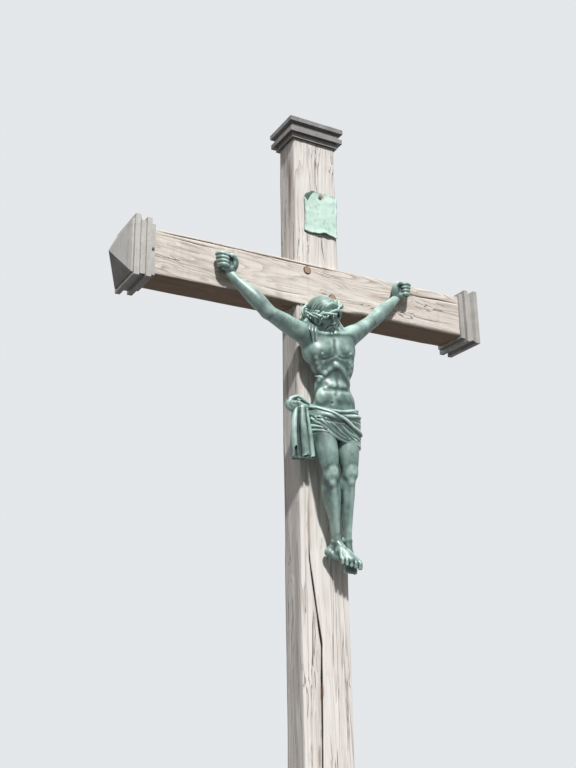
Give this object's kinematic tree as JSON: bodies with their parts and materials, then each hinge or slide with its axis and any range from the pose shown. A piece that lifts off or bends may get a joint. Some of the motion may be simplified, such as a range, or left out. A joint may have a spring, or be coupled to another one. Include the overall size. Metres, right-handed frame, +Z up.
{
  "type": "wayside crucifix",
  "caption": "Tall oak wayside crucifix: tapered post, halved crossbeam with stepped sheet-metal end caps, bare plaque and a patinated cast figure with crown of thorns and knotted loincloth.",
  "frame": {"origin": "middle of the post's foot, at ground level", "axes": "+Z up the post, -Y the front that carries the figure, +X along the crossbeam to the viewer's right"},
  "size_m": [1.754, 0.3637, 4.081],
  "materials": {
    "weathered_oak": "silvered, grain raised and checked by weather",
    "peg_oak": "end grain, weathered",
    "end_sheet_metal": "dull grey zinc sheet, folded and nailed",
    "top_sheet_metal": "dull darker grey zinc sheet, folded and nailed",
    "plaque_metal": "pale green patina on thin sheet",
    "nail_metal": "dark, weathered",
    "figure_metal": "dark green patina with a satin sheen"
  },
  "bodies": {
    "root": {"crossbeam": "weathered_oak", "crown_of_thorns": "figure_metal", "foot_nail": "nail_metal", "hair": "figure_metal", "hanging_cloth": "figure_metal", "head": "figure_metal", "knot": "figure_metal", "left_arm": "figure_metal", "left_cap_inner_ring": "end_sheet_metal", "left_cap_outer_ring": "end_sheet_metal", "left_cap_point": "end_sheet_metal", "left_cap_sleeve": "end_sheet_metal", "left_foot": "figure_metal", "left_hand": "figure_metal", "left_hand_nail": "nail_metal", "left_leg": "figure_metal", "loincloth": "figure_metal", "peg_lower": "peg_oak", "peg_upper": "peg_oak", "plaque": "plaque_metal", "plaque_nail": "nail_metal", "post": "weathered_oak", "right_arm": "figure_metal", "right_cap_inner_ring": "end_sheet_metal", "right_cap_outer_ring": "end_sheet_metal", "right_cap_point": "end_sheet_metal", "right_cap_sleeve": "end_sheet_metal", "right_foot": "figure_metal", "right_hand": "figure_metal", "right_hand_nail": "nail_metal", "right_leg": "figure_metal", "sash": "figure_metal", "top_cap_inner_ring": "top_sheet_metal", "top_cap_outer_ring": "top_sheet_metal", "top_cap_point": "top_sheet_metal", "top_cap_sleeve": "top_sheet_metal", "torso": "figure_metal"}
  },
  "joints": []
}
